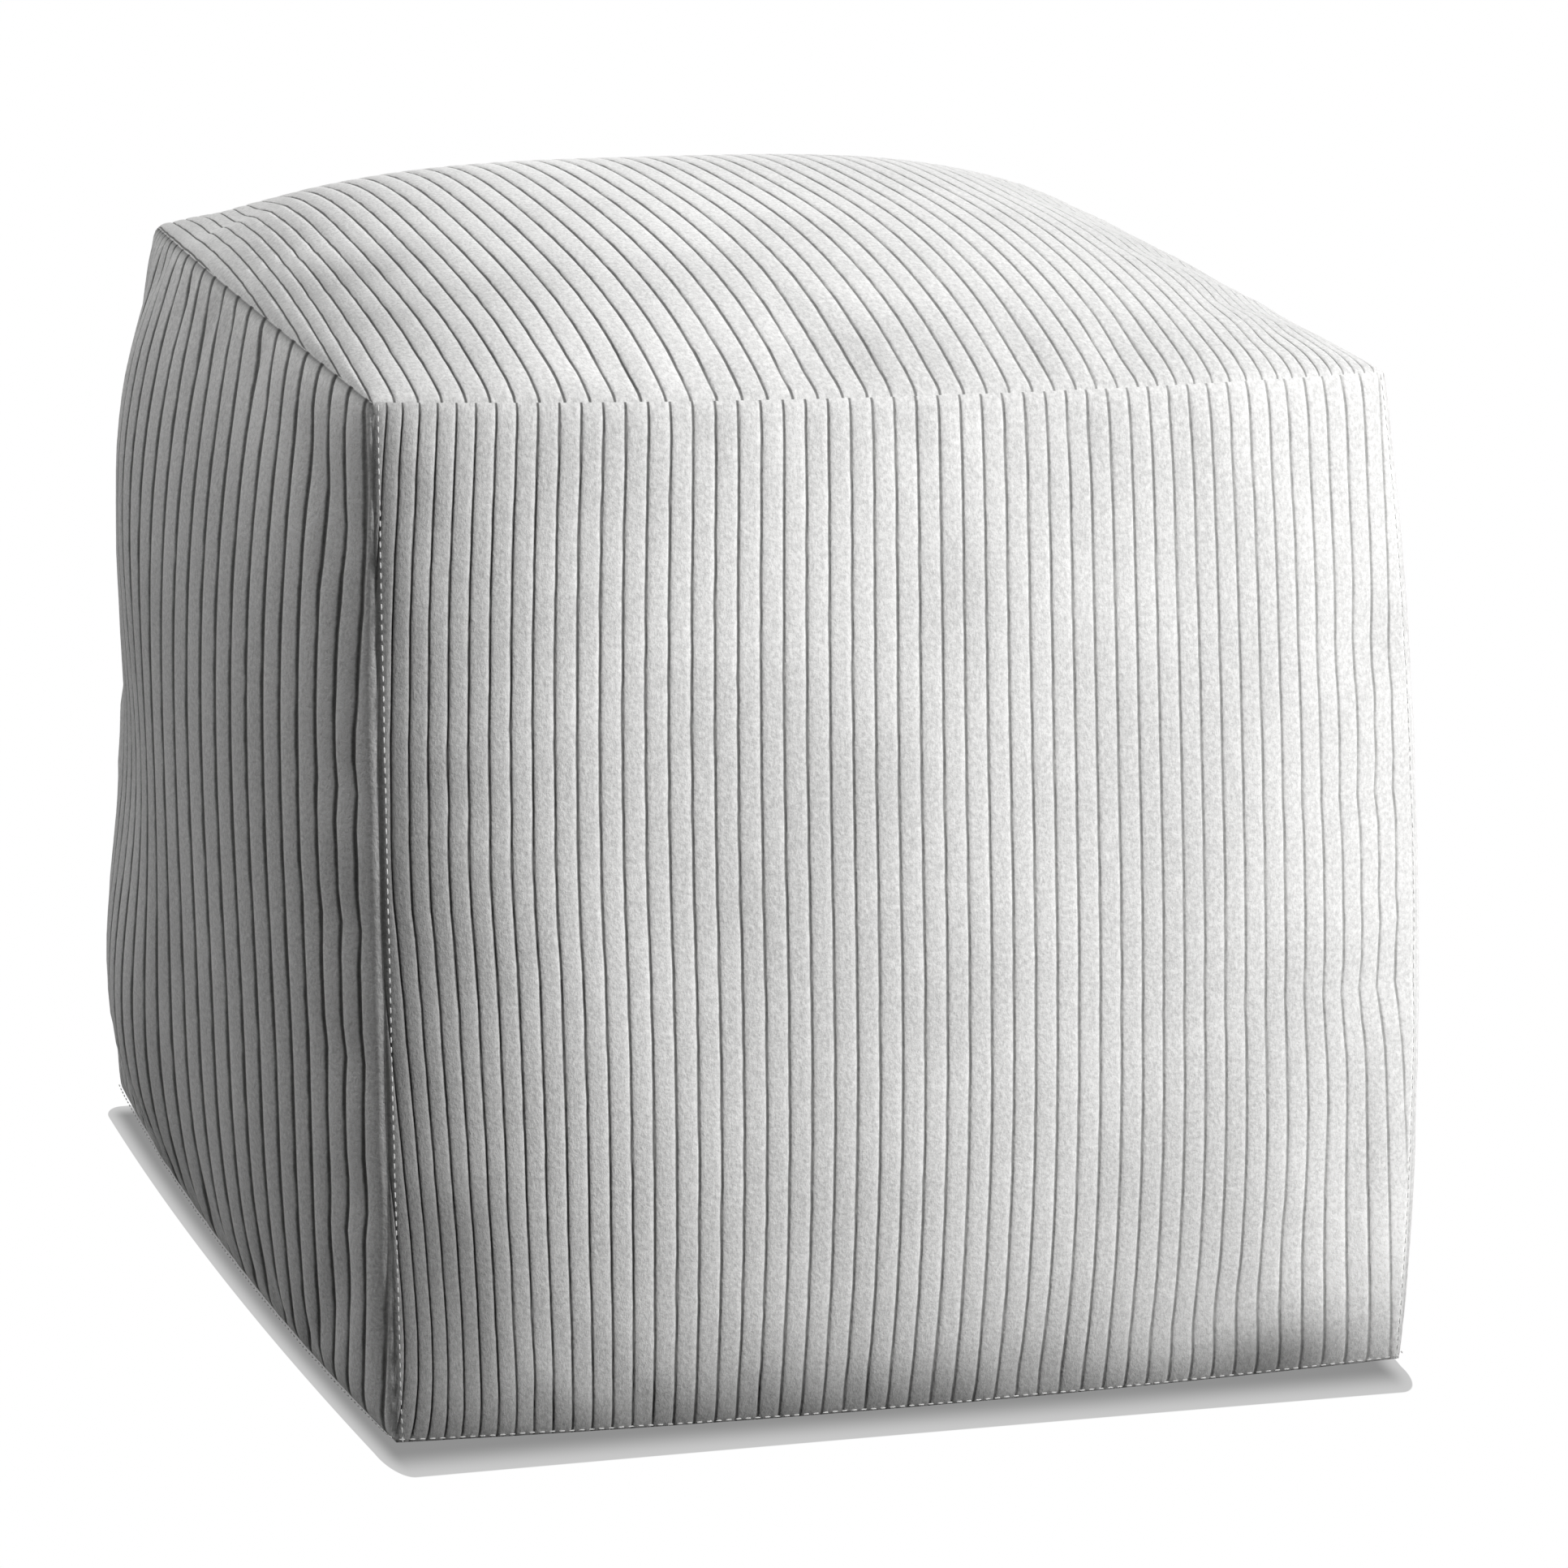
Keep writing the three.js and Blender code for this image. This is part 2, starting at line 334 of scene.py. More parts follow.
def front_drift(share, up):
    """How far the front's wales stray sideways below its top seam, as a share of the panel."""
    share = np.clip(share, 0, 1)
    lean = 1 - (1 - np.clip((1 - up) / FRONT_LEAN_RUN, 0, 1)) ** 2
    left = np.exp(-share / FRONT_BOW_REACH) * np.clip(1 - up / LEFT_BOW_TOP, 0, 1)
    right = np.exp(-(1 - share) / FRONT_BOW_REACH) * np.clip(1 - up / RIGHT_BOW_TOP, 0, 1)
    curl = np.exp(-(up + share) / BASE_CURL_REACH)
    return FRONT_BOW * (left + right) - BASE_CURL * curl - FRONT_LEAN * lean


def side_share(wales, up, bend):
    """Share of the way back along a side after a share of its wales, which crowd to both seams."""
    share = wales - SIDE_CROWDING / (2 * np.pi) * np.sin(2 * np.pi * wales)
    inside = np.clip(share, 0, 1)
    middle = inside * (1 - inside)
    top = TOP_BEND * middle * np.exp(-(1 - up) / TOP_BEND_REACH)
    near_top = np.clip((up - CORNER_LEAN_START) / CORNER_LEAN_RUN, 0, 1)
    lean = CORNER_LEAN * np.exp(-inside / CORNER_LEAN_REACH) * near_top
    sag = SLACK_SAG * middle * np.exp(-(((up - SLACK_HEIGHT) / SLACK_REACH) ** 2))
    ease = 1 - np.exp(-(inside + BASE_BEND_EASE[0]) / BASE_BEND_EASE[1])
    base = BASE_BEND * ease * (1 - inside) * np.exp(-up / BASE_BEND_REACH)
    return share + bend * (top - lean - sag + base)


def top_share(wales, up):
    """Share of the way across the top after a share of its wales, which run off its left seam."""
    crowded = wales + TOP_CROWDING * wales**2 * (1 - wales)
    even = np.where(wales < 0, RUN_OFF_WIDTH * wales, crowded)
    lean = 1 - (1 - np.clip(up / TOP_LEAN_RUN, 0, 1)) ** 2
    return even + TOP_LEAN * lean * np.exp(-np.clip(even, 0, None) / TOP_LEAN_REACH)


def wale_share(panel, wale, up):
    """Where a wale crosses a panel at a height: its share across."""
    part = wale / WALES[panel]
    if panel in ("left", "right"):
        return side_share(part, up, SIDE_BENDS[panel])
    if panel == "top":
        return top_share(part, up)
    even = front_share(part)
    if panel == "front":
        return even + front_drift(even, up)
    if panel == "base":
        return even + (1 - up) * front_drift(even, 0 * up)
    return even


def wale_kind(panel):
    """The sides have wider wales than the other panels."""
    return "side" if panel in ("left", "right") else "front"


def wale_height(panel, wale, across, up):
    """Height of the flat-topped wales over their grooves, sinking to nothing at the seams."""
    if panel == "base":
        return np.zeros_like(across)
    tall, shoulder, crown = WALE_SHAPES[wale_kind(panel)]
    place = wale - np.floor(wale)
    rise = np.clip(np.minimum(place, 1 - place) / shoulder, 0, 1)
    section = (1 - crown) * (1 - (1 - rise) ** 2) + crown * np.sin(np.pi * place)
    sunk = 1 - np.exp(-edge_distance(across, up) / WALE_END)
    if wale_kind(panel) == "side":
        sunk = sunk * (1 - np.exp(-TOP_WIDTH * up / SIDE_WALE_END))
    return tall * section * sunk


def cubic_weights(offset):
    """Weights of the four grid points around a place, for a smooth curve through them."""
    t = offset
    return (
        -0.5 * t + t**2 - 0.5 * t**3,
        1 - 2.5 * t**2 + 1.5 * t**3,
        0.5 * t + 2 * t**2 - 1.5 * t**3,
        -0.5 * t**2 + 0.5 * t**3,
    )


def read_grid(grid, across, up):
    """A vector grid read smoothly at places across and up it."""
    steps = grid.shape[0] - 1
    place_u = np.clip(across, 0, 1) * steps
    place_v = np.clip(up, 0, 1) * steps
    cell_u = np.minimum(place_u.astype(int), steps - 1)
    cell_v = np.minimum(place_v.astype(int), steps - 1)
    weights_u = cubic_weights(place_u - cell_u)
    weights_v = cubic_weights(place_v - cell_v)
    total = np.zeros(across.shape + (3,))
    for j, weight_v in enumerate(weights_v):
        row = np.clip(cell_v + j - 1, 0, steps)
        for i, weight_u in enumerate(weights_u):
            column = np.clip(cell_u + i - 1, 0, steps)
            total += (weight_u * weight_v)[..., None] * grid[row, column]
    return total


OUTLINE_STEPS = 100


def outline_middle():
    """The middle of the cloth's outline, which is moved to the origin."""
    steps = np.linspace(0, 1, OUTLINE_STEPS + 1)
    across, up = np.meshgrid(steps, steps)
    low = np.full(3, np.inf)
    high = np.full(3, -np.inf)
    for panel in PANELS:
        points = filled(panel, across, up).reshape(-1, 3)
        low = np.minimum(low, points.min(0))
        high = np.maximum(high, points.max(0))
    middle = (low + high) / 2
    return np.array((middle[0], middle[1], 0.0))


MIDDLE = outline_middle()

# Cloth simulation on a coarse cage of the six panels
CAGE_STEPS = 30
CLOTH_FRAMES = 20
CLOTH_SETTINGS = {
    "quality": 6,
    "mass": 0.3,
    "tension_stiffness": 30,
    "compression_stiffness": 30,
    "shear_stiffness": 15,
    "bending_stiffness": 2,
    "shrink_min": -0.03,
    "use_pressure": True,
    "uniform_pressure_force": 3.0,
}
# The simulation's moves are eased to at most this many millimetres, and this share of them is kept
MOVE_CAP = 5.0
MOVE_SHARE = 0.33


def simulate_cloth():
    """Settles a coarse cage of the cloth under the filling's pressure, for each panel's moves."""
    steps = np.linspace(0, 1, CAGE_STEPS + 1)
    across, up = np.meshgrid(steps, steps)
    builder = bmesh.new()
    found = {}
    indices = {}
    for panel in PANELS:
        points = filled(panel, across, up)
        own = np.zeros(across.shape, int)
        for row in range(CAGE_STEPS + 1):
            for column in range(CAGE_STEPS + 1):
                key = tuple(np.round(points[row, column], 2))
                if key not in found:
                    found[key] = builder.verts.new(points[row, column] * MM)
                    found[key].index = len(found) - 1
                own[row, column] = found[key].index
        indices[panel] = own
    builder.verts.ensure_lookup_table()
    for panel, own in indices.items():
        for row in range(CAGE_STEPS):
            for column in range(CAGE_STEPS):
                low = own[row, column : column + 2]
                high = own[row + 1, column : column + 2]
                builder.faces.new([builder.verts[k] for k in (low[0], low[1], high[1], high[0])])
    bmesh.ops.recalc_face_normals(builder, faces=builder.faces)
    mesh = bpy.data.meshes.new("cloth_cage")
    builder.to_mesh(mesh)
    builder.free()
    cage = bpy.data.objects.new("cloth_cage", mesh)
    bpy.context.scene.collection.objects.link(cage)
    start = np.array([vertex.co[:] for vertex in mesh.vertices])

    held = cage.vertex_groups.new(name="seams")
    for panel, own in indices.items():
        edge = np.concatenate((own[0], own[-1], own[:, 0], own[:, -1]))
        held.add([int(k) for k in set(edge)], 1.0, "REPLACE")
    held.add([int(k) for k in set(indices["base"].ravel())], 1.0, "REPLACE")

    cloth = cage.modifiers.new("filling", "CLOTH")
    for name, value in CLOTH_SETTINGS.items():
        setattr(cloth.settings, name, value)
    cloth.settings.vertex_group_mass = held.name
    cloth.settings.effector_weights.gravity = 0
    cloth.point_cache.frame_start = 1
    cloth.point_cache.frame_end = CLOTH_FRAMES
    scene = bpy.context.scene
    for step in range(1, CLOTH_FRAMES + 1):
        scene.frame_set(step)
    settled = cage.evaluated_get(bpy.context.evaluated_depsgraph_get())
    moved = np.array([vertex.co[:] for vertex in settled.data.vertices])
    scene.frame_set(1)
    bpy.data.objects.remove(cage, do_unlink=True)
    bpy.data.meshes.remove(mesh)

    moves = (moved - start) / MM
    length = np.linalg.norm(moves, axis=1, keepdims=True)
    moves *= MOVE_SHARE * MOVE_CAP * np.tanh(length / MOVE_CAP) / np.maximum(length, 1e-6)
    return {panel: moves[own] for panel, own in indices.items()}


CLOTH_MOVES = simulate_cloth()


# Steps across and up a panel for its normals, as a share of it
NORMAL_STEP = 0.002


def cloth_surface(panel, across, up):
    """The settled and centred cloth, without wales."""
    return filled(panel, across, up) + read_grid(CLOTH_MOVES[panel], across, up) - MIDDLE


def cloth_normals(panel, across, up):
    """Outward normals of the cloth, from small steps across and up it."""
    step = NORMAL_STEP
    along_u = cloth_surface(panel, across + step, up) - cloth_surface(panel, across - step, up)
    along_v = cloth_surface(panel, across, up + step) - cloth_surface(panel, across, up - step)
    normal = np.cross(along_u, along_v)
    normal /= np.maximum(np.linalg.norm(normal, axis=-1, keepdims=True), 1e-9)
    facing = np.sum(normal * np.array(OUTWARD[panel]), axis=-1, keepdims=True)
    return np.where(facing < 0, -normal, normal)


def panel_grid(panel):
    """A panel's points, its painted light and groove shade, and cloth coordinates, on columns along the
    wales.
    """
    first, last = WALE_ENDS[panel]
    places = SIDE_COLUMNS if wale_kind(panel) == "side" else FRONT_COLUMNS
    wales = np.array([k + place for k in range(first, last) for place in places] + [last])
    wale, up = np.meshgrid(wales, unit_steps(ROWS[panel]))
    share = wale_share(panel, wale, up)
    for row in range(len(share)):
        ends = np.interp((0, 1), share[row], wales)
        wale[row] = np.clip(wales, ends[0], ends[1])
    share = np.clip(share, 0, 1)
    height = wale_height(panel, wale, share, up)
    points = cloth_surface(panel, share, up) + cloth_normals(panel, share, up) * height[..., None]
    looks = np.stack((painted_light_brightness(panel, share, up), groove_shade_strength(panel, share)), axis=-1)
    return points * MM, looks, wale, share, up


class ClothMesh:
    """Collects faces with their cloth coordinates, and sews them into one closed mesh."""

    def __init__(self):
        self.points = []
        self.looks = []
        self.faces = []
        self.loops = []
        self.grooves = []

    def add_points(self, points, looks):
        start = sum(len(block) for block in self.points)
        self.points.append(points.reshape(-1, 3))
        self.looks.append(looks.reshape(-1, 2))
        return start + np.arange(points.size // 3).reshape(points.shape[:-1])

    def add_face(self, corners, coordinates, groove):
        kept = [k for k in range(len(corners)) if corners[k] != corners[k - 1]]
        if len(kept) > 2:
            self.faces.append([int(corners[k]) for k in kept])
            self.loops.extend(coordinates[k] for k in kept)
            self.grooves.append(groove)

    def add_grid(self, index, wale, along, groove):
        for row in range(index.shape[0] - 1):
            for column in range(index.shape[1] - 1):
                ring = ((row, column), (row, column + 1), (row + 1, column + 1), (row + 1, column))
                if np.all(wale[row : row + 2, column] == wale[row : row + 2, column + 1]):
                    continue
                corners = [index[place] for place in ring]
                self.add_face(corners, [(wale[place], along[place]) for place in ring], groove)

    def add_zip(self, first, second, groove):
        """Triangles between two lines of (index, share, wale, along), joined in order of share."""
        a = 0
        b = 0
        while a + 1 < len(first) or b + 1 < len(second):
            step_first = b + 1 == len(second)
            if a + 1 < len(first) and b + 1 < len(second):
                step_first = first[a + 1][1] <= second[b + 1][1]
            points = [first[a], second[b], first[a + 1] if step_first else second[b + 1]]
            self.add_face([point[0] for point in points], [point[2:] for point in points], groove)
            a += step_first
            b += not step_first


# Seams where the columns don't meet: a panel and its row inside the seam, and the neighbour with
# its row or column of points along the seam
ZIPS = [
    ("top", 1, "front", (-1, slice(None))),
    ("top", -2, "back", (-1, slice(None))),
    ("left", 1, "base", (slice(None), 0)),
    ("left", -2, "top", (slice(None), 0)),
    ("right", 1, "base", (slice(None), -1)),
    ("right", -2, "top", (slice(None), -1)),
]


def make_cover():
    """Lays out the six panels, and joins them along the seams where their columns don't meet."""
    sewn = ClothMesh()
    grids = {}
    for panel in PANELS:
        points, looks, wale, share, up = panel_grid(panel)
        index = sewn.add_points(points, looks)
        along = up * CORNER_HEIGHT * MM
        grids[panel] = (index, wale, share, along, up)
        rows = slice(1, -1) if panel in ("top", "left", "right") else slice(None)
        sewn.add_grid(index[rows], wale[rows], along[rows], GROOVE_SHADE_WIDTHS[wale_kind(panel)])
    for panel, row, neighbour, place in ZIPS:
        index, wale, share, along, _ = grids[panel]
        inner = list(zip(index[row], share[row], wale[row], along[row]))
        next_index, _, next_share, _, next_up = grids[neighbour]
        seam_index = next_index[place]
        steps = (next_share if place[0] == -1 else next_up)[place]
        numbers = np.interp(steps, share[row], wale[row])
        height = along[-1, 0] if row < 0 else 0.0
        seam = [(seam_index[k], steps[k], numbers[k], height) for k in range(len(steps))]
        sewn.add_zip(inner, seam, GROOVE_SHADE_WIDTHS[wale_kind(panel)])
    return sewn


# Points closer than this are one point, and edges shorter than this go, in metres
WELD = 3e-5
SLIVER = 1e-6


def build_mesh(sewn):
    """The cover's mesh, with its cloth coordinates and looks."""
    mesh = bpy.data.meshes.new("cushion_cover")
    mesh.from_pydata(np.concatenate(sewn.points).tolist(), [], sewn.faces)
    layer = mesh.uv_layers.new(name="cloth")
    layer.data.foreach_set("uv", np.array(sewn.loops, dtype=np.float32).ravel())
    groove = mesh.attributes.new("groove", "FLOAT", "FACE")
    groove.data.foreach_set("value", np.array(sewn.grooves, dtype=np.float32))
    looks = np.concatenate(sewn.looks).astype(np.float32)
    for name, values in zip(("painted_shade_and_light", "groove_shade_strength"), looks.T):
        attribute = mesh.attributes.new(name, "FLOAT", "POINT")
        attribute.data.foreach_set("value", np.ascontiguousarray(values))
    builder = bmesh.new()
    builder.from_mesh(mesh)
    bmesh.ops.remove_doubles(builder, verts=builder.verts, dist=WELD)
    bmesh.ops.dissolve_degenerate(builder, edges=builder.edges, dist=SLIVER)
    bmesh.ops.delete(builder, geom=[v for v in builder.verts if not v.link_faces], context="VERTS")
    bmesh.ops.recalc_face_normals(builder, faces=builder.faces)
    builder.to_mesh(mesh)
    builder.free()
    mesh.polygons.foreach_set("use_smooth", [True] * len(mesh.polygons))
    return mesh


cover = bpy.data.objects.new("cushion_cover", build_mesh(make_cover()))
bpy.context.scene.collection.objects.link(cover)


# Node helpers
def add_node(tree, kind, **values):
    node = tree.nodes.new(kind)
    for name, value in values.items():
        setattr(node, name, value)
    return node


def link(tree, source, target):
    tree.links.new(source, target)


def math_node(tree, operation, *inputs):
    """The result of a math node on sockets or numbers."""
    node = add_node(tree, "ShaderNodeMath", operation=operation)
    for socket, value in zip(node.inputs, inputs):
        if isinstance(value, (int, float)):
            socket.default_value = value
        else:
            link(tree, value, socket)
    return node.outputs[0]


def ramp(tree, value, low, high, to_low=0.0, to_high=1.0):
    """A smooth step from one pair of values to the other."""
    node = add_node(tree, "ShaderNodeMapRange", interpolation_type="SMOOTHSTEP")
    link(tree, value, node.inputs["Value"])
    node.inputs["From Min"].default_value = low
    node.inputs["From Max"].default_value = high
    node.inputs["To Min"].default_value = to_low
    node.inputs["To Max"].default_value = to_high
    return node.outputs["Result"]


def noise(tree, vector, scale, detail=2.0, rough=0.5):
    """Cloudy noise between 0 and 1."""
    node = add_node(tree, "ShaderNodeTexNoise")
    link(tree, vector, node.inputs["Vector"])
    node.inputs["Scale"].default_value = scale
    node.inputs["Detail"].default_value = detail
    node.inputs["Roughness"].default_value = rough
    return node.outputs["Fac"]


CLOTH_COLOUR = (0.82, 0.817, 0.81, 1)
# Painted shade: the dark colour mixed into the grooves between the wales
GROOVE_SHADE_COLOUR = (0.12, 0.12, 0.118, 1)
# How dark the painted groove shade is at a place on the left of the cube and at one on its right, in
# metres
GROOVE_SHADE_SHARES = (0.92, 0.5)
GROOVE_SHADE_PLACES = (-0.2, 0.25)
# Where the painted groove shade is gone and where it is full, as shares of half its width
GROOVE_SHADE_EDGE = (1.0, 0.3)
# How far the line wanders, in wales, the scale of its waves, and the span of them that counts
WANDER = (-0.03, 0.03)
WANDER_SCALE = 60.0
WANDER_SPAN = (0.2, 0.8)
# The painted highlight on the wale's edge beside the line: how much lighter, and where in the wale it
# starts, peaks and ends
EDGE_HIGHLIGHT = 0.07
EDGE_HIGHLIGHT_PLACES = (0.04, 0.12, 0.4)
# The pile's smudges, streaks and grain: scale, detail and roughness of the noise, the span of it
# that counts, and how far that darkens and lightens the cloth
SMUDGE_NOISE = (11.0, 3.0, 0.5)
SMUDGE_SPAN = (0.36, 0.64)
SMUDGE_SHADES = (-0.06, 0.05)
STREAK_NOISE = (1.0, 2.0, 0.6)
STREAK_SPAN = (0.3, 0.7)
STREAK_SHADES = (-0.05, 0.05)
GRAIN_NOISE = (520.0, 4.0, 0.75)
GRAIN_SPAN = (0.3, 0.7)
GRAIN_SHADES = (-0.15, 0.15)
# How many streaks cross a wale, and lie along a metre of it
STREAK_COUNTS = (7.0, 420.0)
# The pile's relief: shares of grain and streaks, strength, and depth in metres
RELIEF_GRAIN = 0.7
RELIEF_STREAKS = 0.5
RELIEF_STRENGTH = 0.6
RELIEF_DEPTH = 0.0008


def corduroy_material():
    """Brushed pale corduroy with painted shade and light, by wale number and height in the cloth
    coordinates.
    """
    material = bpy.data.materials.new("corduroy")
    material.use_nodes = True
    tree = material.node_tree
    shader = tree.nodes["Principled BSDF"]
    uv = add_node(tree, "ShaderNodeUVMap", uv_map="cloth")
    parts = add_node(tree, "ShaderNodeSeparateXYZ")
    link(tree, uv.outputs["UV"], parts.inputs[0])
    wale = parts.outputs["X"]
    place = add_node(tree, "ShaderNodeTexCoord").outputs["Object"]

    # Painted shade in the groove between two wales, paler to the right where more light falls, and a
    # painted highlight on the wale's edge beside it
    waves = ramp(tree, noise(tree, place, WANDER_SCALE), *WANDER_SPAN, *WANDER)
    across = math_node(tree, "FRACT", math_node(tree, "ADD", wale, waves))
    off_middle = math_node(tree, "ABSOLUTE", math_node(tree, "SUBTRACT", across, 0.5))
    edge = math_node(tree, "SUBTRACT", 0.5, off_middle)
    width = add_node(tree, "ShaderNodeAttribute", attribute_name="groove").outputs["Fac"]
    depth = math_node(tree, "DIVIDE", edge, width)
    sides = add_node(tree, "ShaderNodeSeparateXYZ")
    link(tree, place, sides.inputs[0])
    strength = ramp(tree, sides.outputs["X"], *GROOVE_SHADE_PLACES, *GROOVE_SHADE_SHARES)
    fade = add_node(tree, "ShaderNodeAttribute", attribute_name="groove_shade_strength").outputs["Fac"]
    strength = math_node(tree, "MULTIPLY", strength, fade)
    groove = math_node(tree, "MULTIPLY", ramp(tree, depth, *GROOVE_SHADE_EDGE), strength)
    # The painted highlight on each wale's edge beside the groove
    start, peak, end = EDGE_HIGHLIGHT_PLACES
    lighter = ramp(tree, across, start, peak)
    edge_highlight = math_node(tree, "MULTIPLY", lighter, ramp(tree, across, end, peak))

    # Brushed pile: broad smudges, short streaks along the wale, fine grain, and the cover's patches of
    # painted light and shade
    smudges = noise(tree, place, *SMUDGE_NOISE)
    stretch = add_node(tree, "ShaderNodeCombineXYZ")
    link(tree, math_node(tree, "MULTIPLY", wale, STREAK_COUNTS[0]), stretch.inputs[0])
    link(tree, math_node(tree, "MULTIPLY", parts.outputs["Y"], STREAK_COUNTS[1]), stretch.inputs[1])
    streaks = noise(tree, stretch.outputs[0], *STREAK_NOISE)
    grain = noise(tree, place, *GRAIN_NOISE)

    shade = math_node(tree, "ADD", ramp(tree, smudges, *SMUDGE_SPAN, *SMUDGE_SHADES), 1.0)
    shade = math_node(tree, "ADD", shade, ramp(tree, streaks, *STREAK_SPAN, *STREAK_SHADES))
    shade = math_node(tree, "ADD", shade, ramp(tree, grain, *GRAIN_SPAN, *GRAIN_SHADES))
    shade = math_node(tree, "ADD", shade, math_node(tree, "MULTIPLY", edge_highlight, EDGE_HIGHLIGHT))
    # The cover's patches of painted light and shade, and the painted shade line under the sides' top
    # seams
    painted_shade_and_light = add_node(tree, "ShaderNodeAttribute", attribute_name="painted_shade_and_light").outputs["Fac"]
    shade = math_node(tree, "MULTIPLY", shade, painted_shade_and_light)
    # The painted groove shade mixes in the dark colour
    tint = add_node(tree, "ShaderNodeMix", data_type="RGBA")
    tint.inputs["A"].default_value = CLOTH_COLOUR
    tint.inputs["B"].default_value = GROOVE_SHADE_COLOUR
    link(tree, groove, tint.inputs["Factor"])
    shaded = add_node(tree, "ShaderNodeVectorMath", operation="SCALE")
    link(tree, tint.outputs["Result"], shaded.inputs[0])
    link(tree, shade, shaded.inputs["Scale"])
    link(tree, shaded.outputs[0], shader.inputs["Base Color"])

    # Pile relief
    fine = math_node(tree, "MULTIPLY", grain, RELIEF_GRAIN)
    relief = math_node(tree, "ADD", fine, math_node(tree, "MULTIPLY", streaks, RELIEF_STREAKS))
    bump = add_node(tree, "ShaderNodeBump")
    bump.inputs["Strength"].default_value = RELIEF_STRENGTH
    bump.inputs["Distance"].default_value = RELIEF_DEPTH
    link(tree, relief, bump.inputs["Height"])
    link(tree, bump.outputs["Normal"], shader.inputs["Normal"])

    shader.inputs["Roughness"].default_value = 0.95
    shader.inputs["Specular IOR Level"].default_value = 0.1
    shader.inputs["Sheen Weight"].default_value = 0.2
    shader.inputs["Sheen Roughness"].default_value = 0.5
    return material


cover.data.materials.append(corduroy_material())
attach(cover, "root")
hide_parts("cushion")

# Stitches along the upright seams and the base seams, in millimetres
STITCH_PITCH = 4.2
STITCH_LENGTH = 2.7
STITCH_RADIUS = 0.32
STITCH_INSET = 2.2
STITCH_SIDES = 6
# How far a stitch's middle stands off the plain cloth
STITCH_RISE = 1.2
# Rings of a stitch: place along it and width, as shares of half its length and of its radius
STITCH_RINGS = ((-0.8, 0.7), (-0.4, 1.0), (0.4, 1.0), (0.8, 0.7))
# The thread's two colours, and the scale of their change
THREAD_COLOURS = ((0.78, 0.78, 0.77, 1), (0.9, 0.9, 0.89, 1))
THREAD_SCALE = 900.0
# The stitched seams: a panel and its side
STITCHED = [
    ("front", "left"),
    ("front", "right"),
    ("back", "left"),
    ("back", "right"),
    ("front", "low"),
    ("back", "low"),
    ("left", "low"),
    ("right", "low"),
]


def seam_track(panel, side, count):
    """Places along the left, right or low side of a panel, a little in from its seam."""
    run = (np.arange(count) + 0.5) / count
    inset = np.full(count, STITCH_INSET / TOP_WIDTH)
    if side == "left":
        return inset, run
    if side == "right":
        return 1 - inset, run
    return run, inset


def stitch_shape():
    """One stitch as rings of points along +X with a point at each end, and its outward faces."""
    turns = np.linspace(0, 2 * np.pi, STITCH_SIDES, endpoint=False)
    rings = []
    for along, width in STITCH_RINGS:
        around = (np.full(STITCH_SIDES, along), width * np.cos(turns), width * np.sin(turns))
        rings.append(np.stack(around, axis=1) * (STITCH_LENGTH / 2, STITCH_RADIUS, STITCH_RADIUS))
    ends = np.array(((-STITCH_LENGTH / 2, 0, 0), (STITCH_LENGTH / 2, 0, 0)))
    points = np.concatenate(rings + [ends])
    first_end = len(points) - 2
    faces = []
    for side in range(STITCH_SIDES):
        following = (side + 1) % STITCH_SIDES
        for ring in range(len(STITCH_RINGS) - 1):
            low = ring * STITCH_SIDES
            high = low + STITCH_SIDES
            faces.append((low + side, low + following, high + following, high + side))
        last = (len(STITCH_RINGS) - 1) * STITCH_SIDES
        faces.append((first_end, following, side))
        faces.append((first_end + 1, last + side, last + following))
    return points, faces


def make_stitches():
    """Lays the stitches along their seams, a little proud of the cloth."""
    shape, shape_faces = stitch_shape()
    count = int(CORNER_HEIGHT / STITCH_PITCH)
    points = []
    faces = []
    for panel, side in STITCHED:
        across, up = seam_track(panel, side, count)
        normal = cloth_normals(panel, across, up)
        middle = cloth_surface(panel, across, up) + normal * STITCH_RISE
        ahead = np.gradient(middle, axis=0)
        ahead /= np.linalg.norm(ahead, axis=1, keepdims=True)
        beside = np.cross(normal, ahead)
        for place, axes in zip(middle, np.stack((ahead, beside, normal), axis=1)):
            start = len(points) * len(shape)
            points.append((place + shape @ axes) * MM)
            faces.extend([tuple(start + corner for corner in face) for face in shape_faces])
    mesh = bpy.data.meshes.new("seam_stitches")
    mesh.from_pydata(np.concatenate(points).tolist(), [], faces)
    mesh.polygons.foreach_set("use_smooth", [True] * len(mesh.polygons))
    return mesh


def thread_material():
    """Pale matt thread."""
    material = bpy.data.materials.new("thread")
    material.use_nodes = True
    tree = material.node_tree
    shader = tree.nodes["Principled BSDF"]
    place = add_node(tree, "ShaderNodeTexCoord").outputs["Object"]
    twist = noise(tree, place, THREAD_SCALE)
    tint = add_node(tree, "ShaderNodeMix", data_type="RGBA")
    tint.inputs["A"].default_value = THREAD_COLOURS[0]
    tint.inputs["B"].default_value = THREAD_COLOURS[1]
    link(tree, twist, tint.inputs["Factor"])
    link(tree, tint.outputs["Result"], shader.inputs["Base Color"])
    shader.inputs["Roughness"].default_value = 0.7
    return material


stitches = bpy.data.objects.new("seam_stitches", make_stitches())
bpy.context.scene.collection.objects.link(stitches)
stitches.data.materials.append(thread_material())
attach(stitches, "root")
# Thread this fine throws no shadow on the cloth that could be seen in the photo
stitches.visible_shadow = False

# Camera fitted to the photo, which is 1932 pixels square, with lengths in millimetres
PHOTO_SIDE = 1932
FOCAL_PIXELS = 7000
CAMERA_YAW = math.radians(-16.68)
CAMERA_PITCH = math.radians(15.32)
CAMERA_ROLL = math.radians(1.61)
CAMERA_DISTANCE = 2559.3
TARGET_HEIGHT = 217
TARGET_OFFSET = (-69.7, -3.4)
SENSOR = 36.0


